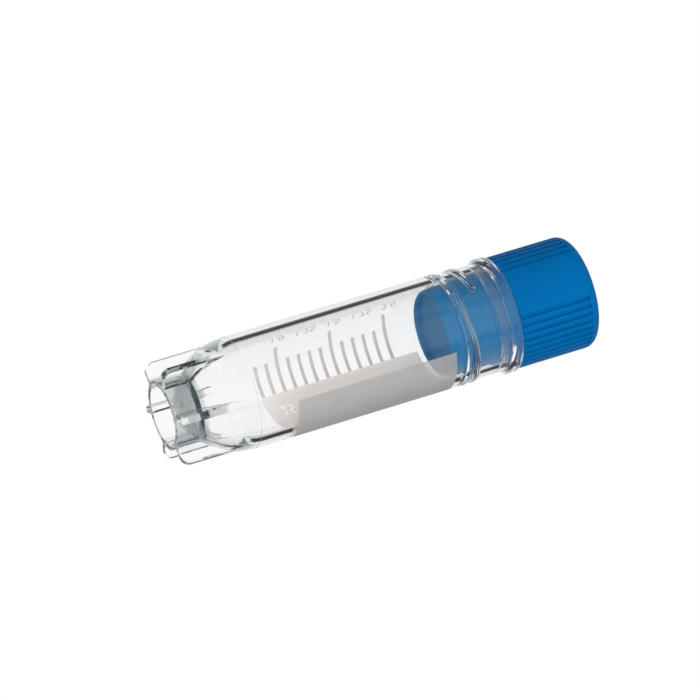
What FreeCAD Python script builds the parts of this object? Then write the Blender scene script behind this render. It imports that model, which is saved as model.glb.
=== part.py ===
import FreeCAD, Part
import math
import os

# Self-standing 2 ml cryogenic vial: a clear polypropylene tube with a star foot, a screw cap
# whose hollow plug carries the thread, and a silicone ring round the plug that seals the mouth.
# Millimetres. Z runs up the vial's axis from the plane of the foot, X and Y across it.

V = FreeCAD.Vector
AXIS = V(0, 0, 1)
ORIGIN = V(0, 0, 0)

# ---- tube: body and rounded bottom
body_r = 6.25                # outside of the printed body
body_bottom_z = 8.8          # the bottom's insert in the mould ends here, in a fine step
body_top_z = 33.1            # the body ends just below the ring
bottom_step = 0.03           # how far the rounded bottom stands in where it meets the body
bottom_pole_z = 1.6          # lowest point of the rounded bottom, outside
bottom_pole_r = 5.6          # the ball that shapes its pole
bottom_wall = 1.2            # under the cavity
bore_low_r = 5.26            # bore just above the rounded bottom; from here to the neck it has draft
bore_round_z = 7.0           # rounded bottom of the cavity starts here
cavity_pole_r = 5.6          # the ball that shapes the cavity's pole
step_chamfer = 0.03
shoulder_height = 0.2        # cone between body and neck, outside

# ---- tube: star foot
foot_ring_r = 3.9
foot_ring_wall = 0.6
fin_count = 6
fin_inset = 0.17             # fins end just inside the body's outside
fin_thickness = 0.9
fin_corner_r = 1.0
fin_edge = 0.15              # chamfer of its free edges
fin_first_deg = 222.0        # azimuth of the first fin about +Z

# ---- tube: neck
neck_inset = 0.17            # how far the neck's outside stands in from the body's
neck_bore_r = 5.35
neck_bore_z = 32.9           # the bore's draft ends here
rim_z = 40.05                # mouth of the tube
ring_z = 33.7                # planar ring round the neck
ring_height = 0.24
ring_half_width = 0.4
bead_chords = 4              # ring and bead are low arcs, drawn in this many straight steps
collar_height = 1.35         # flange at the mouth
collar_width = 0.42          # out from the neck
collar_low_edge = 0.3        # chamfers
collar_top_edge = 0.2
seal_pocket_depth = 2.35     # under the rim
seal_pocket_step = 0.27      # its wall stands back from the neck's bore
mouth_chamfer = 0.2

# ---- screw thread: one lead for the neck's rib, the bead outside it and the plug's ridge
lead = 2.2
tip_z = 36.2                 # the rounded tip of rib and bead
tip_deg = 233.0
bead_height = 0.21
bead_half_width = 0.45
bead_turn_deg = 412.0        # its lower end has run into the planar ring
rib_turn_deg = 360.0
ridge_turn_deg = 300.0
thread_half_width = 0.34     # half the width of rib and ridge where they meet their wall
thread_crest_half = 0.14
rib_engagement = 0.3         # how far the rib stands in from the neck's bore
ridge_gap = 0.07             # ridge crest to neck bore
core_gap = 0.08              # plug core to rib crest
flank_gap = 0.1              # ridge to the rib above it, along the axis
root_sink = 0.15             # threads start this deep in their wall
tip_scale = 0.98             # a rounded tip is a hair smaller, so that it crosses its thread cleanly

# ---- cap
cap_overhang = 0.05          # how far the head stands out over the body
cap_top_z = 49.5
cap_edge_r = 1.0
cap_lower_edge = 0.12        # chamfer
rim_gap = 0.05               # tube's rim to the head's underside
plug_end_z = 31.8
plug_taper_height = 1.2
plug_taper = 0.15
plug_lip = 0.15              # chamfer
end_rim = 0.57               # width of the rim round the shallow recess in the plug's closed end
end_recess_depth = 0.5
end_recess_edge = 0.12
end_wall = 1.5
insert_recess_r = 4.2        # seat of a marker disc in the top
insert_recess_depth = 1.0
insert_recess_edge = 0.15
core_wall_high = 1.37        # the plug is cored from the top, with the core pin's draft
core_wall_low = 1.62
core_hole_corner = 0.8       # chamfer at its floor

# ---- silicone ring in its seat round the plug
seal_height = 1.2
seal_radial_gap = 0.03       # to the pocket's wall outside it, and to the plug inside it
seal_axial_gap = 0.03        # to the ledge of the tube, and to the seat's two ends
seal_corner = 0.12
seat_bead_gap = 0.15         # neck's bore to the bead of the plug that keeps the ring on it
seat_bead_height = 0.35

# ---- grip grooves of the cap: groups with smooth panels between them
groove_groups = 3
grooves_in_group = 9
groove_pitch_deg = 8.1
groove_first_deg = 280.4     # azimuth of the first groove of the first group
groove_half_width = 0.21
groove_depth = 0.32          # straight sides and a round floor
groove_end = 1.1             # below the cap's top

# ---- values worked out from those above
bottom_r = body_r - bottom_step
fin_r = body_r - fin_inset
neck_r = body_r - neck_inset
ring_r = neck_r + ring_height
bead_r = neck_r + bead_height
collar_r = neck_r + collar_width
cap_r = body_r + cap_overhang
collar_z = rim_z - collar_height
seal_ledge_z = rim_z - seal_pocket_depth
seal_pocket_r = neck_bore_r + seal_pocket_step
seat_bead_r = neck_bore_r - seat_bead_gap
foot_bore_r = foot_ring_r - foot_ring_wall
cavity_pole_z = bottom_pole_z + bottom_wall
rib_crest_r = neck_bore_r - rib_engagement
core_r = rib_crest_r - core_gap
ridge_crest_r = neck_bore_r - ridge_gap
head_z = rim_z + rim_gap
end_recess_r = core_r - end_rim
core_hole_high_r = core_r - core_wall_high
core_hole_low_r = core_r - core_wall_low
core_hole_floor_z = plug_end_z + end_recess_depth + end_wall
core_hole_top_z = cap_top_z - insert_recess_depth
seal_z = seal_ledge_z + seal_axial_gap
seat_low_z = seal_z - seal_axial_gap
seat_high_z = seal_z + seal_height + seal_axial_gap
groove_top_z = cap_top_z - groove_end


def at(r, z):
    """A point of a profile: r out from the axis, z up it."""
    return V(r, 0, z)


def outline(*pieces):
    """A closed wire from points, which are joined by straight edges, and ready-made edges."""
    edges = []
    here = None
    for piece in pieces:
        if isinstance(piece, FreeCAD.Vector):
            start, end = piece, piece
        else:
            start, end = piece.firstVertex(True).Point, piece.lastVertex(True).Point
        if here is not None and here.distanceToPoint(start) > 1e-6:
            edges.append(Part.makeLine(here, start))
        if not isinstance(piece, FreeCAD.Vector):
            edges.append(piece)
        here = end
    first = pieces[0] if isinstance(pieces[0], FreeCAD.Vector) else pieces[0].firstVertex(True).Point
    if here.distanceToPoint(first) > 1e-6:
        edges.append(Part.makeLine(here, first))
    return Part.Wire(edges)


def turned(*pieces):
    """The solid that a closed half-section makes when it is turned about the axis."""
    return Part.Face(outline(*pieces)).revolve(ORIGIN, AXIS, 360)


def rounded(corner_r, corner_z, radius, start_deg, end_deg):
    """A quarter-round of a profile, from its centre, its radius and its two directions."""
    a, b = math.radians(start_deg), math.radians(end_deg)
    m = (a + b) / 2
    points = [at(corner_r + radius * math.cos(t), corner_z + radius * math.sin(t)) for t in (a, m, b)]
    return Part.Arc(*points).toShape()


def dome(r, pole_z, top_z, pole_r, r_from, r_to):
    """Part of a rounded bottom that meets a wall of radius r at top_z.

    A ball of radius pole_r at the pole runs smoothly into a flank, whose centre is level with top_z.
    """
    height = top_z - pole_z
    flank_r = (r ** 2 + (height - pole_r) ** 2 - pole_r ** 2) / (2 * (r - pole_r))
    flank_centre = r - flank_r
    tangent = pole_r * (0 - flank_centre) / (flank_r - pole_r)

    def on_dome(x):
        if x <= tangent:
            return at(x, pole_z + pole_r - math.sqrt(pole_r ** 2 - x ** 2))
        return at(x, top_z - math.sqrt(max(0.0, flank_r ** 2 - (x - flank_centre) ** 2)))

    stops = [r_from] + [tangent] * (r_from < tangent < r_to) + [r_to]
    return [Part.Arc(on_dome(low), on_dome((low + high) / 2), on_dome(high)).toShape()
            for low, high in zip(stops, stops[1:])]


def low_arc(foot_r, crest_r, half_width, z, half=False):
    """Points of a low arc that stands on foot_r, from its lower end or, as a half, from its crest."""
    rise = crest_r - foot_r
    arc_r = (half_width ** 2 + rise ** 2) / (2 * rise)
    reach = math.asin(half_width / arc_r)
    steps = range(0 if half else -bead_chords // 2, bead_chords // 2 + 1)
    turns = [2 * reach * k / bead_chords for k in steps]
    return [at(crest_r - arc_r + arc_r * math.cos(t), z + arc_r * math.sin(t)) for t in turns]


def bead_section(base_r, foot_r, crest_r, half_width, z, half=False):
    """Section of a bead: a low arc over a root that reaches in to base_r."""
    start = at(base_r, z if half else z - half_width)
    return outline(start, *low_arc(foot_r, crest_r, half_width, z, half), at(base_r, z + half_width))


def thread_section(base_r, crest_r, z, half=False):
    """Section of a thread: a trapezoid from its root at base_r to its crest."""
    if half:
        return outline(at(base_r, z), at(crest_r, z), at(crest_r, z + thread_crest_half),
                       at(base_r, z + thread_half_width))
    return outline(at(base_r, z - thread_half_width), at(crest_r, z - thread_crest_half),
                   at(crest_r, z + thread_crest_half), at(base_r, z + thread_half_width))


def along_helix(section, r, z, start_deg, turn_deg):
    """A section, drawn at height z, swept up a right-handed helix of the thread's lead."""
    helix = Part.makeHelix(lead, lead * turn_deg / 360.0, r)
    helix.translate(V(0, 0, z))
    swept = Part.Wire(helix.Edges).makePipeShell([section], True, True)
    swept.rotate(ORIGIN, AXIS, start_deg)
    return swept


def round_end(half_section, r, z, azimuth_deg):
    """The section's upper half turned about its own radial line: a rounded tip."""
    tip = Part.Face(half_section).revolve(at(0, z), V(1, 0, 0), 360)
    tip.scale(tip_scale, at(r, z))
    tip.rotate(ORIGIN, AXIS, azimuth_deg)
    return tip


def with_thread(body, section, r, z_end, end_deg, turn_deg, round_start=True):
    """The body with a bead or thread fused on, which winds up to z_end and end_deg."""
    z_start = z_end - lead * turn_deg / 360.0
    start_deg = end_deg - turn_deg
    body = body.fuse(along_helix(section(z_start), r, z_start, start_deg, turn_deg))
    body = body.fuse(round_end(section(z_end, True), r, z_end, end_deg))
    if round_start:
        body = body.fuse(round_end(section(z_start, True), r, z_start, start_deg))
    return body


def star_fin(azimuth_deg):
    """One fin of the foot: a plate from the foot ring out to fin_r, rounded at its free corner."""
    inner_r = foot_ring_r - foot_ring_wall / 2
    corner = rounded(fin_r - fin_corner_r, fin_corner_r, fin_corner_r, -90, 0)
    wire = outline(at(inner_r, 0), corner, at(fin_r, body_bottom_z), at(inner_r, body_bottom_z))
    plate = Part.Face(wire).extrude(V(0, fin_thickness, 0))
    plate.translate(V(0, -fin_thickness / 2, 0))
    outer = [e for e in plate.Edges
             if e.BoundBox.XMax > fin_r - fin_corner_r - 0.01 and e.BoundBox.YLength < 1e-6
             and (e.BoundBox.XMin > fin_r - 1e-6 or e.Curve.TypeId == "Part::GeomCircle")]
    plate = plate.makeChamfer(fin_edge, outer)
    plate.rotate(ORIGIN, AXIS, azimuth_deg)
    return plate


def make_tube():
    outside = turned(
        at(0, 0), at(foot_ring_r, 0),
        *dome(bottom_r, bottom_pole_z, body_bottom_z, bottom_pole_r, foot_ring_r, bottom_r),
        at(body_r - step_chamfer, body_bottom_z), at(body_r, body_bottom_z + step_chamfer),
        at(body_r, body_top_z), at(neck_r, body_top_z + shoulder_height),
        *low_arc(neck_r, ring_r, ring_half_width, ring_z),
        at(neck_r, collar_z), at(collar_r - collar_low_edge, collar_z),
        at(collar_r, collar_z + collar_low_edge), at(collar_r, rim_z - collar_top_edge),
        at(collar_r - collar_top_edge, rim_z), at(0, rim_z))

    for k in range(fin_count):
        outside = outside.fuse(star_fin(fin_first_deg + k * 360.0 / fin_count))

    def bead(z, half=False):
        return bead_section(neck_r - root_sink, neck_r, bead_r, bead_half_width, z, half)

    outside = with_thread(outside, bead, neck_r, tip_z, tip_deg, bead_turn_deg, round_start=False)

    cavity = turned(
        *dome(bore_low_r, cavity_pole_z, bore_round_z, cavity_pole_r, 0, bore_low_r),
        at(neck_bore_r, neck_bore_z), at(neck_bore_r, seal_ledge_z), at(seal_pocket_r, seal_ledge_z),
        at(seal_pocket_r, rim_z - mouth_chamfer), at(seal_pocket_r + mouth_chamfer, rim_z),
        at(seal_pocket_r + mouth_chamfer, rim_z + 1), at(0, rim_z + 1))

    recess = turned(
        *dome(bottom_r, bottom_pole_z, body_bottom_z, bottom_pole_r, 0, foot_bore_r),
        at(foot_bore_r, -1), at(0, -1))

    def rib(z, half=False):
        return thread_section(neck_bore_r + root_sink, rib_crest_r, z, half)

    tube = outside.cut(cavity).cut(recess)
    return with_thread(tube, rib, neck_bore_r, tip_z, tip_deg, rib_turn_deg)


def grip_groove(azimuth_deg):
    """What one grip groove takes away, from under the head up to groove_top_z."""
    low_z = head_z - 1
    half, outer_r = groove_half_width, cap_r + 1
    side_r = cap_r - groove_depth + half
    floor = Part.Arc(V(side_r, -half, low_z), V(side_r - half, 0, low_z), V(side_r, half, low_z)).toShape()
    section = Part.Face(outline(V(outer_r, -half, low_z), floor, V(outer_r, half, low_z)))
    groove = section.extrude(V(0, 0, groove_top_z - low_z))
    groove.rotate(ORIGIN, AXIS, azimuth_deg)
    return groove


def make_cap():
    lip_r = core_r - plug_taper
    head = turned(
        at(0, plug_end_z + end_recess_depth), at(end_recess_r, plug_end_z + end_recess_depth),
        at(end_recess_r, plug_end_z + end_recess_edge), at(end_recess_r + end_recess_edge, plug_end_z),
        at(lip_r - plug_lip, plug_end_z), at(lip_r, plug_end_z + plug_lip),
        at(core_r, plug_end_z + plug_taper_height),
        at(core_r, seat_low_z - seat_bead_height), at(seat_bead_r, seat_low_z - seat_bead_height / 2),
        at(seat_bead_r, seat_low_z), at(core_r, seat_low_z), at(core_r, seat_high_z),
        at(seat_bead_r, seat_high_z), at(seat_bead_r, head_z),
        at(cap_r - cap_lower_edge, head_z), at(cap_r, head_z + cap_lower_edge),
        rounded(cap_r - cap_edge_r, cap_top_z - cap_edge_r, cap_edge_r, 0, 90),
        at(insert_recess_r + insert_recess_edge, cap_top_z),
        at(insert_recess_r, cap_top_z - insert_recess_edge),
        at(insert_recess_r, core_hole_top_z), at(core_hole_high_r, core_hole_top_z),
        at(core_hole_low_r, core_hole_floor_z + core_hole_corner),
        at(core_hole_low_r - core_hole_corner, core_hole_floor_z), at(0, core_hole_floor_z))

    def ridge(z, half=False):
        return thread_section(core_r - root_sink, ridge_crest_r, z, half)

    # The ridge lies one flank contact and the gap below the rib: midway between their crests, each is
    # wider than at its crest by the taper of its flank.
    overlap = (ridge_crest_r - rib_crest_r) / 2
    taper = (thread_half_width - thread_crest_half) / (rib_engagement + root_sink)
    drop = 2 * (thread_crest_half + overlap * taper) + flank_gap
    cap = with_thread(head, ridge, core_r, tip_z - drop, tip_deg, ridge_turn_deg)

    grooves = []
    for group in range(groove_groups):
        for k in range(grooves_in_group):
            azimuth = groove_first_deg + group * 360.0 / groove_groups + k * groove_pitch_deg
            grooves.append(grip_groove(azimuth))
    return cap.cut(Part.makeCompound(grooves))


def make_seal():
    low, high = seal_z, seal_z + seal_height
    inner, outer = core_r + seal_radial_gap, seal_pocket_r - seal_radial_gap
    return turned(
        at(inner, low), at(outer - seal_corner, low), at(outer, low + seal_corner),
        at(outer, high - seal_corner), at(outer - seal_corner, high), at(inner, high))


os.makedirs("parts", exist_ok=True)
for name, make in (("tube", make_tube), ("screw_cap", make_cap), ("seal_ring", make_seal)):
    shape = make()
    assert shape.isValid() and len(shape.Solids) == 1, name
    shape = shape.Solids[0]
    shape.exportStep("parts/%s.step" % name)
    box = shape.BoundBox
    print("%-10s %8.2f mm3  z %.3f to %.3f  widest %.3f mm, %d faces"
          % (name, shape.Volume, box.ZMin, box.ZMax, box.XLength, len(shape.Faces)))
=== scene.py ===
import math

import bmesh
import bpy
from mathutils import Matrix, Vector


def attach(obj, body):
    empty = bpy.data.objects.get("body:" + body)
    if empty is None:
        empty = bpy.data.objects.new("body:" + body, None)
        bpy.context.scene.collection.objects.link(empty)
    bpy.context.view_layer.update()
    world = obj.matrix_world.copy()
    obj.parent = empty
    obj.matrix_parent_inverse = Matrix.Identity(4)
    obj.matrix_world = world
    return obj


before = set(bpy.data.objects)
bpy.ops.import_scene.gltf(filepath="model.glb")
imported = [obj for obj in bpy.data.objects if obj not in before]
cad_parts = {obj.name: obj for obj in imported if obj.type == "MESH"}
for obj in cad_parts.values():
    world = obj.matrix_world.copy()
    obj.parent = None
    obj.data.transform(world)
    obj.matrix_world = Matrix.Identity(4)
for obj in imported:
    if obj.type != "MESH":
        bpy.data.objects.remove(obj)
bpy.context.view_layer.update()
print("frame loaded:", ", ".join(sorted(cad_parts)))

mm = 0.001
white = (1.0, 1.0, 1.0, 1.0)
mathNode = "ShaderNodeMath"
vectorNode = "ShaderNodeVectorMath"
rangeNode = "ShaderNodeMapRange"
colourA, colourB, colourOut = 6, 7, 2    # a Mix node's sockets for colours
numberA, numberB = 2, 3                  # and for plain numbers
levelOnly = (1.0, 1.0, 0.0)              # drops a place's height and leaves its way from the axis
cloudRange = (0.35, 0.65)                # most of a noise's values lie between these
turnedOften = 2.0                        # light that clear walls turn back more times takes a turned-back tint, on the clear vial a painted grey shade


def srgb(text):  # "#RRGGBB" to the linear values that shaders work in
    channels = [int(text[i:i + 2], 16) / 255 for i in (1, 3, 5)]
    linear = [c / 12.92 if c <= 0.04045 else ((c + 0.055) / 1.055) ** 2.4 for c in channels]
    return (*linear, 1.0)


def addNode(tree, kind, inputs=None, **settings):  # an input gets a value or another node's output
    node = tree.nodes.new(kind)
    for name, value in settings.items():
        setattr(node, name, value)
    for key, value in (inputs or {}).items():
        if isinstance(value, bpy.types.NodeSocket):
            tree.links.new(value, node.inputs[key])
        else:
            node.inputs[key].default_value = value
    return node


def newMaterial(name):
    material = bpy.data.materials.new(name)
    material.use_nodes = True
    material.node_tree.nodes.clear()
    return material


def fillRamp(ramp, positions, colours):
    for element, position, colour in zip(ramp.color_ramp.elements, positions, colours):
        element.position = position
        element.color = srgb(colour)


def letLightPass(tree, shader, tint, turnedBackTint):  # soft light passes, and light turned back often
    ray = addNode(tree, "ShaderNodeLightPath").outputs
    soft = addNode(tree, mathNode, {0: ray["Is Shadow Ray"], 1: ray["Is Diffuse Ray"]},
                   operation="MAXIMUM").outputs[0]
    often = addNode(tree, mathNode, {0: ray["Glossy Depth"], 1: turnedOften},
                    operation="GREATER_THAN").outputs[0]
    colour = addNode(tree, "ShaderNodeMix", {0: often, colourA: srgb(tint), colourB: srgb(turnedBackTint)},
                     data_type="RGBA")
    through = addNode(tree, "ShaderNodeBsdfTransparent", {"Color": colour.outputs[colourOut]})
    passes = addNode(tree, mathNode, {0: soft, 1: often}, operation="MAXIMUM")
    return addNode(tree, "ShaderNodeMixShader", {0: passes.outputs[0], 1: shader.outputs[0],
                                                 2: through.outputs[0]}).outputs[0]


def aroundAxis(turn, height, radius):  # the turn is in radians about +Z, from +X
    return Vector((radius * math.cos(turn), radius * math.sin(turn), height))


# clear polypropylene: injection moulded and glass clear, with a polished mould's gloss and faint
# flow ripples; painted shade makes it a cool grey where the eye looks along the wall, on the hazy
# foot ring, and on light that the wall turns back often

vialPlastic = {
    "tint": "#FEFEFE",
    # painted shade: the wall is coloured this cool grey where the eye looks along it, standing in
    # for the dark that it shows there
    "paintedEdgeShade": "#DADFE3",
    "edgeShadeFrom": (0.35, 0.9),         # where it changes: 0 faces the eye, 1 is edge on
    # painted shade: the grey that light takes after the wall has turned it back often
    "turnedBackShade": "#B8C0C4",           # of light that the wall has turned back often
    "ior": 1.49,
    "roughness": 0.015,
    "footHazeShade": "#AEB6B9",           # the foot ring is hazy on its outer face, as the mould is worn there, and painted a grey shade
    "footRoughness": 0.2,
    "hazeShadeHeightMm": (2.6, 4.6),      # it is hazy and painted grey up to the first height, clear from the second
    "hazeShadeOutwardMm": (4.0, 4.4),     # the same by distance from the axis, going outwards
    "hazeShadeInwardMm": (3.8, 3.6),      # and going inwards
    "rippleMm": 4.0,                 # size of the flow ripples
    "rippleRoughness": 0.4,
    "rippleStrength": 0.5,
    "rippleDepthMm": 0.004,
}


def makeVialPlastic(p):
    material = newMaterial("clearPolypropylene")
    tree = material.node_tree
    place = addNode(tree, "ShaderNodeTexCoord").outputs["Object"]
    ripple = addNode(tree, "ShaderNodeTexNoise",
                     {"Vector": place, "Scale": 1 / (p["rippleMm"] * mm),
                      "Roughness": p["rippleRoughness"]})
    bump = addNode(tree, "ShaderNodeBump",
                   {"Height": ripple.outputs["Fac"], "Strength": p["rippleStrength"],
                    "Distance": p["rippleDepthMm"] * mm})
    # painted shade: the cool grey comes in as the wall is seen more edge on
    facing = addNode(tree, "ShaderNodeLayerWeight").outputs["Facing"]
    tint = addNode(tree, "ShaderNodeValToRGB", {"Fac": facing})
    fillRamp(tint, p["edgeShadeFrom"], (p["tint"], p["paintedEdgeShade"]))
    height = addNode(tree, "ShaderNodeSeparateXYZ", {0: place}).outputs["Z"]
    level = addNode(tree, vectorNode, {0: place, 1: levelOnly}, operation="MULTIPLY")
    radius = addNode(tree, vectorNode, {0: level.outputs[0]}, operation="LENGTH").outputs["Value"]
    # painted shade: the foot ring's grey, like its haze, shows only on faces that light enters, and
    # fades out by height and by distance from the axis
    clearing = addNode(tree, "ShaderNodeNewGeometry").outputs["Backfacing"]
    for value, ends in ((height, "hazeShadeHeightMm"), (radius, "hazeShadeOutwardMm"),
                        (radius, "hazeShadeInwardMm")):
        hazy, clear = (end * mm for end in p[ends])
        share = addNode(tree, rangeNode, {"Value": value, "From Min": hazy, "From Max": clear},
                        interpolation_type="SMOOTHSTEP").outputs[0]
        clearing = addNode(tree, mathNode, {0: clearing, 1: share},
                           operation="MAXIMUM").outputs[0]
    colour = addNode(tree, "ShaderNodeMix", {0: clearing, colourA: srgb(p["footHazeShade"]),
                                             colourB: tint.outputs["Color"]}, data_type="RGBA")
    roughness = addNode(tree, rangeNode, {"Value": clearing, "To Min": p["footRoughness"],
                                          "To Max": p["roughness"]})
    plastic = addNode(tree, "ShaderNodeBsdfPrincipled",
                      {"Base Color": colour.outputs[colourOut], "Roughness": roughness.outputs[0],
                       "IOR": p["ior"], "Transmission Weight": 1.0,
                       "Normal": bump.outputs["Normal"]})
    surface = letLightPass(tree, plastic, p["tint"], p["turnedBackShade"])
    addNode(tree, "ShaderNodeOutputMaterial", {"Surface": surface})
    return material


# blue polypropylene: moulded and opaque, satin from a fine spark-eroded mould, with a faintly
# uneven colour where the masterbatch has flowed, and its plug painted paler as if lit through its
# thin wall

capPlastic = {
    "colour": "#006FB4",
    "deepColour": "#006AAE",
    "ior": 1.49,
    "gloss": 0.045,
    "roughness": 0.5,
    "plugLitColour": "#1B74A9",         # painted light: paler below the head, as if lit through the plug's thin wall
    "plugRoughness": 0.4,
    "headBottom": 40.0 * mm,
    "cloudMm": 5.0,
    "cloudDetail": 3.0,
    "grainMm": 0.12,                 # real grain is finer, drawn as coarse as it needs to show
    "grainStrength": 0.4,
    "grainDepthMm": 0.002,
}


def makeCapPlastic(p):
    material = newMaterial("satinBluePolypropylene")
    tree = material.node_tree
    place = addNode(tree, "ShaderNodeTexCoord").outputs["Object"]
    cloud = addNode(tree, "ShaderNodeTexNoise",
                    {"Vector": place, "Scale": 1 / (p["cloudMm"] * mm), "Detail": p["cloudDetail"]})
    colour = addNode(tree, "ShaderNodeValToRGB", {"Fac": cloud.outputs["Fac"]})
    fillRamp(colour, cloudRange, (p["deepColour"], p["colour"]))
    grain = addNode(tree, "ShaderNodeTexNoise",
                    {"Vector": place, "Scale": 1 / (p["grainMm"] * mm)})
    bump = addNode(tree, "ShaderNodeBump",
                   {"Height": grain.outputs["Fac"], "Strength": p["grainStrength"],
                    "Distance": p["grainDepthMm"] * mm})
    height = addNode(tree, "ShaderNodeSeparateXYZ", {0: place}).outputs["Z"]
    isHead = addNode(tree, mathNode, {0: height, 1: p["headBottom"]},
                     operation="GREATER_THAN").outputs[0]
    roughness = addNode(tree, rangeNode, {"Value": isHead, "To Min": p["plugRoughness"],
                                          "To Max": p["roughness"]})
    # painted light: the plug below the head takes its paler colour
    whole = addNode(tree, "ShaderNodeMix", {0: isHead, colourA: srgb(p["plugLitColour"]),
                                            colourB: colour.outputs["Color"]}, data_type="RGBA")
    plastic = addNode(tree, "ShaderNodeBsdfPrincipled",
                      {"Base Color": whole.outputs[colourOut], "Roughness": roughness.outputs[0],
                       "IOR": p["ior"], "Specular IOR Level": p["gloss"],
                       "Normal": bump.outputs["Normal"]})
    addNode(tree, "ShaderNodeOutputMaterial", {"Surface": plastic.outputs[0]})
    return material


# silicone: soft and translucent with a breath of blue, matt from its compression mould

sealSilicone = {
    "colour": "#DDF1F8",
    "ior": 1.41,
    "roughness": 0.16,
    "roughnessRange": 0.08,
    "clear": 0.97,                   # share of light that passes through
    "mottleMm": 0.8,
}


def makeSealSilicone(p):
    material = newMaterial("milkySilicone")
    tree = material.node_tree
    place = addNode(tree, "ShaderNodeTexCoord").outputs["Object"]
    mottle = addNode(tree, "ShaderNodeTexNoise",
                     {"Vector": place, "Scale": 1 / (p["mottleMm"] * mm)})
    roughness = addNode(tree, rangeNode, {"Value": mottle.outputs["Fac"],
                                          "To Min": p["roughness"] - p["roughnessRange"],
                                          "To Max": p["roughness"] + p["roughnessRange"]})
    rubber = addNode(tree, "ShaderNodeBsdfPrincipled",
                     {"Base Color": srgb(p["colour"]), "Roughness": roughness.outputs[0],
                      "IOR": p["ior"], "Transmission Weight": p["clear"]})
    surface = letLightPass(tree, rubber, p["colour"], p["colour"])
    addNode(tree, "ShaderNodeOutputMaterial", {"Surface": surface})
    return material


# screen-printed white ink: a thin matt film that lets some light through; its outer face is painted
# a grey shade where it is looked at, and its inner face, seen through the wall, is painted paler
# and warmer as if lit from behind

panelInk = {
    # painted shade: the white ink's outer face is coloured grey, with a darker random tone; painted
    # light: its inner face is pale and warm
    "outside": "#B0B0B0",
    "outsideDark": "#A9AAAB",
    "inside": "#FFF3EC",
    "cover": 0.68,                   # share of the light that the film stops
}
lineInk = {
    # painted shade: the white line ink's outer face is coloured grey, with a darker random tone;
    # painted light: its inner face is pale and warm
    "outside": "#9A9A9A",
    "outsideDark": "#949494",
    "inside": "#CBC4C0",
    "cover": 0.85,
}
inkFinish = {
    "roughness": 0.6,
    "gloss": 0.2,
    "meshMm": 0.12,                  # the screen's weave, drawn coarser than it is
    "weaveStrength": 0.3,
    "weaveDepthMm": 0.002,
    "cloudMm": 3.0,
    "cloudDetail": 4.0,
    "closedAt": 0.7,                 # looked at this far along its surface, it stops all light
}


def makePrintInk(name, p, finish):
    material = newMaterial(name)
    tree = material.node_tree
    place = addNode(tree, "ShaderNodeTexCoord").outputs["Object"]
    cloud = addNode(tree, "ShaderNodeTexNoise",
                    {"Vector": place, "Scale": 1 / (finish["cloudMm"] * mm),
                     "Detail": finish["cloudDetail"]})
    outside = addNode(tree, "ShaderNodeValToRGB", {"Fac": cloud.outputs["Fac"]})
    fillRamp(outside, cloudRange, (p["outsideDark"], p["outside"]))
    # the film's outer face looks away from the vial's axis, its inner face towards it
    outward = addNode(tree, vectorNode, {0: place, 1: levelOnly}, operation="MULTIPLY")
    geometry = addNode(tree, "ShaderNodeNewGeometry").outputs
    away = addNode(tree, vectorNode, {0: outward.outputs[0], 1: geometry["True Normal"]},
                   operation="DOT_PRODUCT").outputs["Value"]
    isOuter = addNode(tree, mathNode, {0: away, 1: 0.0}, operation="GREATER_THAN").outputs[0]
    # the outer face takes the painted grey shade, the inner face the painted backlit colour
    colour = addNode(tree, "ShaderNodeMix", {0: isOuter, colourA: srgb(p["inside"]),
                                             colourB: outside.outputs["Color"]}, data_type="RGBA")
    weave = addNode(tree, "ShaderNodeTexNoise",
                    {"Vector": place, "Scale": 1 / (finish["meshMm"] * mm)})
    bump = addNode(tree, "ShaderNodeBump",
                   {"Height": weave.outputs["Fac"], "Strength": finish["weaveStrength"],
                    "Distance": finish["weaveDepthMm"] * mm})
    ink = addNode(tree, "ShaderNodeBsdfPrincipled",
                  {"Base Color": colour.outputs[colourOut], "Roughness": finish["roughness"],
                   "Specular IOR Level": finish["gloss"], "Normal": bump.outputs["Normal"]})
    # light meets the film once, at the face that it reaches first
    isFirst = addNode(tree, mathNode, {0: 1.0, 1: geometry["Backfacing"]},
                      operation="SUBTRACT").outputs[0]
    along = addNode(tree, "ShaderNodeLayerWeight").outputs["Facing"]
    share = addNode(tree, rangeNode, {"Value": along, "From Max": finish["closedAt"],
                                      "To Min": p["cover"]}).outputs[0]
    cover = addNode(tree, mathNode, {0: isFirst, 1: share}, operation="MULTIPLY")
    clear = addNode(tree, "ShaderNodeBsdfTransparent")
    film = addNode(tree, "ShaderNodeMixShader", {0: cover.outputs[0], 1: clear.outputs[0],
                                                 2: ink.outputs[0]})
    addNode(tree, "ShaderNodeOutputMaterial", {"Surface": film.outputs[0]})
    return material


materials = {
    "tube": makeVialPlastic(vialPlastic),
    "screw_cap": makeCapPlastic(capPlastic),
    "seal_ring": makeSealSilicone(sealSilicone),
}
panelMaterial = makePrintInk("screenPrintedWhiteInk", panelInk, inkFinish)
lineMaterial = makePrintInk("screenPrintedLineInk", lineInk, inkFinish)
for nodeName, material in materials.items():
    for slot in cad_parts[nodeName].material_slots:
        slot.material = material
print("plastics, silicone and ink made")


# print on the body: a film of ink that follows the wall and closes on it

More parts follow.
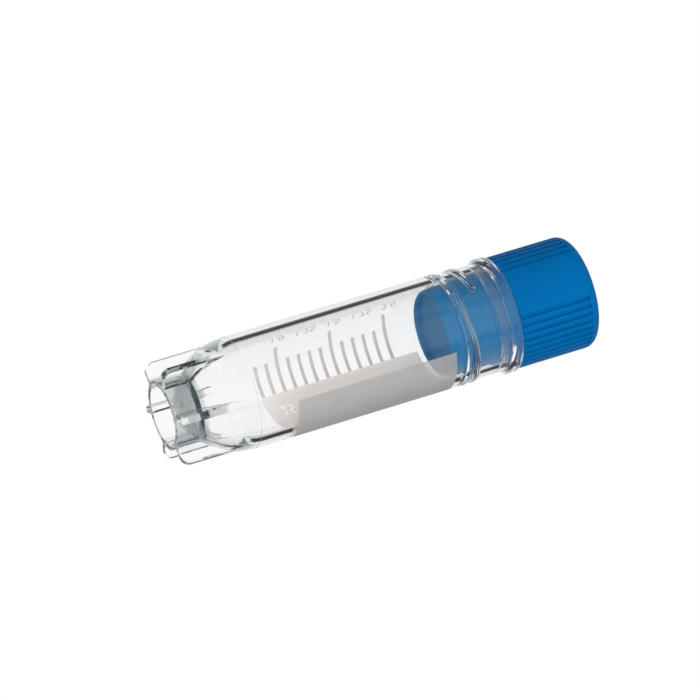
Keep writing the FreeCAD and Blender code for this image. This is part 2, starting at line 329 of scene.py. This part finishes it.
bodyPrint = {
    "bodyRadius": 6.25 * mm,
    "film": 0.012 * mm,              # how far the ink stands up from the wall
    "sink": 0.02 * mm,               # and how far it reaches in, so that it closes on the wall
    "wrapStep": 0.35 * mm,           # longest straight stretch round the body
    "mergeWithin": 1e-7,             # points nearer to each other than this are one
    "cutWithin": 1e-8,               # points nearer to a cut than this are on it
    "skew": -0.0214,                 # climb of the print for each millimetre round the body
    "panelFrom": -65.0,              # degrees about +Z
    "panelTo": 76.5,
    "panelBottom": 13.08 * mm,
    "panelTop": 31.85 * mm,
    "digitShare": 0.7,               # of the font's size, how tall its digits are
    "cutNumber": "25",               # left clear in the panel, it reads along the vial
    "cutHeight": 1.55 * mm,
    "cutWidth": 0.68,                # of a plain digit's
    "cutSpacing": 1.15,
    "cutTurn": 59.0,                 # where the digits' feet stand
    "cutMiddle": 15.25 * mm,
}


def arcLength(degrees, p):  # round the body, from +X
    return math.radians(degrees) * p["bodyRadius"]


def layOnBody(flatMesh, name, p):  # x runs round the body as arc length, y runs up it
    bm = bmesh.new()
    bm.from_mesh(flatMesh)
    bmesh.ops.remove_doubles(bm, verts=bm.verts, dist=p["mergeWithin"])
    low = min(v.co.x for v in bm.verts)
    high = max(v.co.x for v in bm.verts)
    for k in range(1, math.ceil((high - low) / p["wrapStep"])):
        everything = bm.verts[:] + bm.edges[:] + bm.faces[:]
        bmesh.ops.bisect_plane(bm, geom=everything, dist=p["cutWithin"],
                               plane_co=(low + k * p["wrapStep"], 0, 0), plane_no=(1, 0, 0))
    grown = bmesh.ops.extrude_face_region(bm, geom=bm.faces[:], use_keep_orig=True)["geom"]
    outer = {v for v in grown if isinstance(v, bmesh.types.BMVert)}
    for v in bm.verts:
        radius = p["bodyRadius"] + (p["film"] if v in outer else -p["sink"])
        v.co = aroundAxis(v.co.x / p["bodyRadius"], v.co.y + p["skew"] * v.co.x, radius)
    bmesh.ops.recalc_face_normals(bm, faces=bm.faces)
    # cutting leaves points and faces in another order each time, so they are put in one order here
    points = sorted(bm.verts, key=lambda v: tuple(v.co))
    order = {v: k for k, v in enumerate(points)}
    faces = []
    for face in bm.faces:
        corners = [order[v] for v in face.verts]
        first = corners.index(min(corners))
        faces.append(corners[first:] + corners[:first])
    mesh = bpy.data.meshes.new(name)
    mesh.from_pydata([v.co for v in points], [], sorted(faces))
    bm.free()
    return mesh


def linkedObject(name, data):
    obj = bpy.data.objects.new(name, data)
    bpy.context.scene.collection.objects.link(obj)
    return obj


def evaluatedMesh(obj):  # a plain mesh of what the object shows, and the object is removed
    depsgraph = bpy.context.evaluated_depsgraph_get()
    mesh = bpy.data.meshes.new_from_object(obj.evaluated_get(depsgraph))
    bpy.data.objects.remove(obj)
    return mesh


def digitsObject(digits, height, name, body, spacing=1.0):  # flat, in the XY plane
    curve = bpy.data.curves.new(name, "FONT")
    curve.body = digits
    curve.size = height / body["digitShare"]
    curve.align_x = "CENTER"
    curve.space_character = spacing
    return linkedObject(name, curve)


def placeAlongVial(degrees, middle, body):  # digits read from foot to cap
    place = Matrix.Translation((arcLength(degrees, body), middle, 0))
    return place @ Matrix.Rotation(math.radians(90), 4, "Z")


def printPiece(mesh, name, ink):
    piece = linkedObject(name, mesh)
    mesh.materials.clear()
    mesh.materials.append(ink)
    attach(piece, "tube")


def makePanel(p):
    digits = digitsObject(p["cutNumber"], p["cutHeight"], "cutNumber", p, p["cutSpacing"])
    place = placeAlongVial(p["cutTurn"], p["cutMiddle"], p)
    place = place @ Matrix.Diagonal((p["cutWidth"], 1.0, 1.0, 1.0))
    outline = bpy.data.curves.new("panelOutline", "CURVE")
    outline.dimensions = "2D"
    outline.fill_mode = "BOTH"
    # the digits' outlines are drawn again here, as a text's own characters fill one by one
    for drawn in digits.to_curve(bpy.context.evaluated_depsgraph_get()).splines:
        edge = outline.splines.new("BEZIER")
        edge.bezier_points.add(len(drawn.bezier_points) - 1)
        edge.use_cyclic_u = True
        for point, source in zip(edge.bezier_points, drawn.bezier_points):
            point.handle_left_type = point.handle_right_type = "FREE"
            point.co = place @ source.co
            point.handle_left = place @ source.handle_left
            point.handle_right = place @ source.handle_right
    bpy.data.objects.remove(digits)
    left, right = arcLength(p["panelFrom"], p), arcLength(p["panelTo"], p)
    bottom, top = p["panelBottom"], p["panelTop"]
    border = outline.splines.new("POLY")
    border.points.add(3)
    corners = ((left, bottom), (right, bottom), (right, top), (left, top))
    for point, corner in zip(border.points, corners):
        point.co = (*corner, 0, 1)
    border.use_cyclic_u = True
    flat = evaluatedMesh(linkedObject("panelOutline", outline))
    printPiece(layOnBody(flat, "writing_panel", p), "writing_panel", panelMaterial)


makePanel(bodyPrint)
print("writing panel laid on the body")

graduation = {
    "count": 13,
    "first": 13.2 * mm,              # height of the lowest line's lower edge
    "pitch": 1.295 * mm,             # a tenth of a millilitre
    "lineWidth": 0.38 * mm,
    "shortTurn": 36.5,               # degrees that a line runs round from the panel's edge
    "longTurn": 54.5,
    "longFirst": 2,                  # the first long line, counting from 0
    "longEvery": 5,
    "steps": 14,                     # straight stretches in one line
}


def makeGraduation(p, body):
    tree = bpy.data.node_groups.new("graduationLines", "GeometryNodeTree")
    tree.interface.new_socket("Geometry", in_out="OUTPUT", socket_type="NodeSocketGeometry")
    sizes = {
        "Count": p["count"],
        "Long First": p["longFirst"],
        "Long Every": p["longEvery"],
        "Stations": p["steps"] + 1,
        "First": p["first"],
        "Pitch": p["pitch"],
        "Line Width": p["lineWidth"],
        "Short Length": arcLength(p["shortTurn"], body),
        "Long Length": arcLength(p["longTurn"], body),
        "Start": arcLength(body["panelTo"], body),
        "Skew": body["skew"],
        "Radius": body["bodyRadius"],
        "Film": body["film"],
        "Sink": body["sink"],
    }
    sockets = {}
    for name, value in sizes.items():
        socketType = "NodeSocketInt" if isinstance(value, int) else "NodeSocketFloat"
        sockets[name] = tree.interface.new_socket(name, in_out="INPUT", socket_type=socketType)
    given = addNode(tree, "NodeGroupInput").outputs

    lowest = addNode(tree, "ShaderNodeCombineXYZ", {"Z": given["First"]}).outputs[0]
    offset = addNode(tree, "ShaderNodeCombineXYZ", {"Z": given["Pitch"]}).outputs[0]
    points = addNode(tree, "GeometryNodeMeshLine",
                     {"Count": given["Count"], "Start Location": lowest, "Offset": offset},
                     mode="OFFSET").outputs["Mesh"]
    index = addNode(tree, "GeometryNodeInputIndex").outputs[0]
    counted = addNode(tree, mathNode, {0: index, 1: given["Long First"]},
                      operation="SUBTRACT").outputs[0]
    rest = addNode(tree, mathNode, {0: counted, 1: given["Long Every"]},
                   operation="FLOORED_MODULO").outputs[0]
    isLong = addNode(tree, mathNode, {0: rest, 1: 1.0}, operation="LESS_THAN").outputs[0]
    length = addNode(tree, "ShaderNodeMix", {0: isLong, numberA: given["Short Length"],
                                             numberB: given["Long Length"]}).outputs[0]
    # a bar of unit length, from 0 to 1 round the body, is scaled to each line's own length
    size = addNode(tree, "ShaderNodeCombineXYZ",
                   {"X": 1.0, "Y": 1.0, "Z": given["Line Width"]}).outputs[0]
    bar = addNode(tree, "GeometryNodeMeshCube", {"Size": size, "Vertices X": given["Stations"]})
    halfWidth = addNode(tree, mathNode, {0: given["Line Width"], 1: 2.0},
                        operation="DIVIDE").outputs[0]
    middle = addNode(tree, "ShaderNodeCombineXYZ", {"X": 0.5, "Z": halfWidth}).outputs[0]
    shifted = addNode(tree, "GeometryNodeTransform",
                      {"Geometry": bar.outputs["Mesh"], "Translation": middle}).outputs[0]
    scale = addNode(tree, "ShaderNodeCombineXYZ", {"X": length, "Y": 1.0, "Z": 1.0}).outputs[0]
    bars = addNode(tree, "GeometryNodeInstanceOnPoints",
                   {"Points": points, "Instance": shifted, "Scale": scale}).outputs[0]
    real = addNode(tree, "GeometryNodeRealizeInstances", {"Geometry": bars}).outputs[0]
    # each point goes to its arc length round the body, and out to the film or in to the root
    position = addNode(tree, "GeometryNodeInputPosition").outputs[0]
    where = addNode(tree, "ShaderNodeSeparateXYZ", {0: position}).outputs
    arc = addNode(tree, mathNode, {0: where["X"], 1: given["Start"]}, operation="ADD").outputs[0]
    turn = addNode(tree, mathNode, {0: arc, 1: given["Radius"]}, operation="DIVIDE").outputs[0]
    isOuter = addNode(tree, mathNode, {0: where["Y"], 1: 0.0}, operation="GREATER_THAN").outputs[0]
    outer = addNode(tree, mathNode, {0: given["Radius"], 1: given["Film"]},
                    operation="ADD").outputs[0]
    inner = addNode(tree, mathNode, {0: given["Radius"], 1: given["Sink"]},
                    operation="SUBTRACT").outputs[0]
    radius = addNode(tree, "ShaderNodeMix",
                     {0: isOuter, numberA: inner, numberB: outer}).outputs[0]
    around = {}
    for axis, operation in (("X", "COSINE"), ("Y", "SINE")):
        part = addNode(tree, mathNode, {0: turn}, operation=operation).outputs[0]
        around[axis] = addNode(tree, mathNode, {0: radius, 1: part},
                               operation="MULTIPLY").outputs[0]
    around["Z"] = addNode(tree, mathNode, {0: arc, 1: given["Skew"], 2: where["Z"]},
                          operation="MULTIPLY_ADD").outputs[0]
    wrapped = addNode(tree, "ShaderNodeCombineXYZ", around).outputs[0]
    placed = addNode(tree, "GeometryNodeSetPosition",
                     {"Geometry": real, "Position": wrapped}).outputs[0]
    inked = addNode(tree, "GeometryNodeSetMaterial",
                    {"Geometry": placed, "Material": lineMaterial}).outputs[0]
    addNode(tree, "NodeGroupOutput", {"Geometry": inked})

    carrier = linkedObject("graduationCarrier", bpy.data.meshes.new("graduationCarrier"))
    modifier = carrier.modifiers.new("lines", "NODES")
    modifier.node_group = tree
    for name, value in sizes.items():
        modifier[sockets[name].identifier] = value
    mesh = evaluatedMesh(carrier)
    bm = bmesh.new()
    bm.from_mesh(mesh)
    bmesh.ops.recalc_face_normals(bm, faces=bm.faces)
    bm.to_mesh(mesh)
    bm.free()
    printPiece(mesh, "graduation_lines", lineMaterial)


makeGraduation(graduation, bodyPrint)
print("graduation laid on the body")

numbers = {
    "values": ("1.0", "1.25", "1.5", "1.75", "2.0"),
    "height": 1.05 * mm,
    "turn": 149.5,                   # where the digits' feet stand, in degrees about +Z
    "first": 16.1 * mm,              # height of the first number's middle
    "pitch": 3.36 * mm,
}


def makeNumbers(p, body):
    for k, value in enumerate(p["values"]):
        flat = evaluatedMesh(digitsObject(value, p["height"], "number", body))
        flat.transform(placeAlongVial(p["turn"], p["first"] + k * p["pitch"], body))
        name = "number_" + value.replace(".", "_")
        printPiece(layOnBody(flat, name, body), name, lineMaterial)


makeNumbers(numbers, bodyPrint)
print("numbers laid on the body")


# surroundings: a white studio, a pale floor that can be seen from above, soft lamps

studio = {
    "ambient": 0.52,                 # soft light from all round
    # how strong the room is, by how far a direction points along an axis: the first strength
    # up to the first place, the second from the second place
    "fades": {
        # gloss shows a duller room in front of the vial than behind it
        "mirrored": {"axis": "Y", "between": (0.5, 0.9), "strength": (0.62, 1.0)},
        # the room's -X side is duller
        "shadySide": {"axis": "X", "between": (-0.92, -0.65), "strength": (0.3, 1.0)},
        # and so is its +X side, but not where clear walls show what is behind
        "dullSide": {"axis": "X", "between": (0.85, 0.4), "strength": (0.45, 1.0)},
        # what clear walls turn back to the front comes from the dull room there
        "throughFront": {"axis": "Y", "between": (-0.4, 0.2), "strength": (0.55, 1.0)},
    },
    # dark cards, two behind the vial and two in front, draw the edges of its clear walls
    "cardColour": "#1A1F2B",
    "cardTurn": 41.0,                # degrees from straight behind or in front
    "cardHalfAngle": (12.0, 6.8),    # from gone to full dark
    "cardRise": ((8.0, 13.0), (30.0, 25.0)),     # the same over the horizon, at foot and head
}


def makeStudio(p):
    world = bpy.data.worlds.new("studio")
    bpy.context.scene.world = world
    world.use_nodes = True
    tree = world.node_tree
    tree.nodes.clear()
    place = addNode(tree, "ShaderNodeTexCoord").outputs["Generated"]
    direction = addNode(tree, "ShaderNodeSeparateXYZ", {0: place}).outputs

    # how far a direction is turned from straight behind or straight in front
    side = addNode(tree, mathNode, {0: direction["X"]}, operation="ABSOLUTE").outputs[0]
    ahead = addNode(tree, mathNode, {0: direction["Y"]}, operation="ABSOLUTE").outputs[0]
    turn = addNode(tree, mathNode, {0: side, 1: ahead}, operation="ARCTAN2").outputs[0]
    apart = addNode(tree, mathNode, {0: turn, 1: math.radians(p["cardTurn"])},
                    operation="SUBTRACT").outputs[0]
    off = addNode(tree, mathNode, {0: apart}, operation="ABSOLUTE").outputs[0]
    edges = [(off, [math.radians(angle) for angle in p["cardHalfAngle"]])]
    for ends in p["cardRise"]:
        edges.append((direction["Z"], [math.sin(math.radians(angle)) for angle in ends]))
    card = 1.0
    for value, (gone, dark) in edges:
        share = addNode(tree, rangeNode, {"Value": value, "From Min": gone, "From Max": dark},
                        interpolation_type="SMOOTHSTEP").outputs[0]
        card = addNode(tree, mathNode, {0: share, 1: card}, operation="MULTIPLY").outputs[0]
    seen = addNode(tree, "ShaderNodeMix", {0: card, colourA: white,
                                           colourB: srgb(p["cardColour"])}, data_type="RGBA")

    strength = {}
    for name, fade in p["fades"].items():
        (start, end), (first, second) = fade["between"], fade["strength"]
        strength[name] = addNode(tree, rangeNode,
                                 {"Value": direction[fade["axis"]], "From Min": start,
                                  "From Max": end, "To Min": first, "To Max": second},
                                 interpolation_type="SMOOTHSTEP").outputs[0]
    through, sides = (addNode(tree, mathNode, {0: strength["shadySide"], 1: strength[other]},
                              operation="MULTIPLY").outputs[0]
                      for other in ("throughFront", "dullSide"))
    ambient, mirrored = (addNode(tree, mathNode, {0: sides, 1: other},
                                 operation="MULTIPLY").outputs[0]
                         for other in (p["ambient"], strength["mirrored"]))

    # gloss and clear walls show the bright room, but not to light that has met a dull surface
    ray = addNode(tree, "ShaderNodeLightPath").outputs
    direct = addNode(tree, mathNode, {0: ray["Diffuse Depth"], 1: 1.0},
                     operation="LESS_THAN").outputs[0]
    glossy, bent = (addNode(tree, mathNode, {0: ray[name], 1: direct},
                            operation="MULTIPLY").outputs[0]
                    for name in ("Is Glossy Ray", "Is Transmission Ray"))
    shader = addNode(tree, "ShaderNodeBackground", {"Color": white, "Strength": ambient})
    for amount, colour, strong in ((glossy, white, mirrored),
                                   (bent, seen.outputs[colourOut], through),
                                   (ray["Is Camera Ray"], white, 1.0)):
        shown = addNode(tree, "ShaderNodeBackground", {"Color": colour, "Strength": strong})
        shader = addNode(tree, "ShaderNodeMixShader", {0: amount, 1: shader.outputs[0],
                                                       2: shown.outputs[0]})
    addNode(tree, "ShaderNodeOutputWorld", {"Surface": shader.outputs[0]})


makeStudio(studio)

paleFloor = {
    "colour": "#F4F4F2",
    "size": 600 * mm,
    "fade": (60 * mm, 250 * mm),     # it fades into the white between these distances
}


def makeFloor(p):
    material = newMaterial("paleStudioPaper")
    tree = material.node_tree
    place = addNode(tree, "ShaderNodeTexCoord").outputs["Object"]
    distance = addNode(tree, vectorNode, {0: place}, operation="LENGTH").outputs["Value"]
    start, end = p["fade"]
    fade = addNode(tree, rangeNode, {"Value": distance, "From Min": start, "From Max": end},
                   interpolation_type="SMOOTHSTEP").outputs[0]
    back = addNode(tree, "ShaderNodeNewGeometry").outputs["Backfacing"]
    gone = addNode(tree, mathNode, {0: fade, 1: back}, operation="MAXIMUM").outputs[0]
    paper = addNode(tree, "ShaderNodeBsdfDiffuse", {"Color": srgb(p["colour"])})
    clear = addNode(tree, "ShaderNodeBsdfTransparent")
    mixed = addNode(tree, "ShaderNodeMixShader", {0: gone, 1: paper.outputs[0],
                                                  2: clear.outputs[0]})
    addNode(tree, "ShaderNodeOutputMaterial", {"Surface": mixed.outputs[0]})
    half = p["size"] / 2
    corners = [(-half, -half, 0), (half, -half, 0), (half, half, 0), (-half, half, 0)]
    mesh = bpy.data.meshes.new("floor")
    mesh.from_pydata(corners, [], [(0, 1, 2, 3)])
    mesh.materials.append(material)
    floor = linkedObject("floor", mesh)
    floor.visible_shadow = False


makeFloor(paleFloor)

lamps = {
    "distance": 500 * mm,
    "aim": 25 * mm,                  # height that both lamps point at
    "each": {
        "key": {"turn": -76.0, "rise": -10.0, "size": 320 * mm, "power": 1.45},
        "fill": {"turn": 110.0, "rise": 40.0, "size": 400 * mm, "power": 1.0},
    },
}


def makeLamps(p):
    middle = Vector((0, 0, p["aim"]))
    for name, lamp in p["each"].items():
        light = bpy.data.lights.new(name, "AREA")
        light.shape = "DISK"
        light.size = lamp["size"]
        light.energy = lamp["power"]
        obj = linkedObject(name, light)
        rise = math.radians(lamp["rise"])
        obj.location = middle + aroundAxis(math.radians(lamp["turn"]),
                                           p["distance"] * math.sin(rise),
                                           p["distance"] * math.cos(rise))
        obj.rotation_euler = (middle - obj.location).to_track_quat("-Z", "Y").to_euler()
        obj.visible_transmission = False
        obj.visible_glossy = False


makeLamps(lamps)

view = {
    "below": 19.0,                   # degrees under the horizon: it looks up past the foot
    "roll": 73.2,                    # turned so that the vial lies across the view
    "distance": 700 * mm,
    "lens": 332.46,                  # long, so that the vial hardly narrows with distance
    "near": 10 * mm,
    "aim": 24.87 * mm,               # this point of the axis is a little off the middle
    "aimRight": 2.4905 * mm,
    "aimUp": -0.2274 * mm,
}


def makeCamera(p):
    below, roll = math.radians(p["below"]), math.radians(p["roll"])
    ahead = Vector((0, math.cos(below), math.sin(below)))
    levelRight = Vector((1, 0, 0))
    levelUp = Vector((0, -math.sin(below), math.cos(below)))
    right = math.cos(roll) * levelRight + math.sin(roll) * levelUp
    up = math.cos(roll) * levelUp - math.sin(roll) * levelRight
    camera = linkedObject("camera", bpy.data.cameras.new("camera"))
    camera.data.lens = p["lens"]
    camera.data.clip_start = p["near"]
    place = Vector((0, 0, p["aim"])) - ahead * p["distance"]
    place = place - right * p["aimRight"] - up * p["aimUp"]
    turned = Matrix((right, up, -ahead)).transposed().to_4x4()
    camera.matrix_world = Matrix.Translation(place) @ turned
    bpy.context.scene.camera = camera


makeCamera(view)
bpy.context.scene.view_settings.view_transform = "Standard"
print("studio, lamps and camera set")
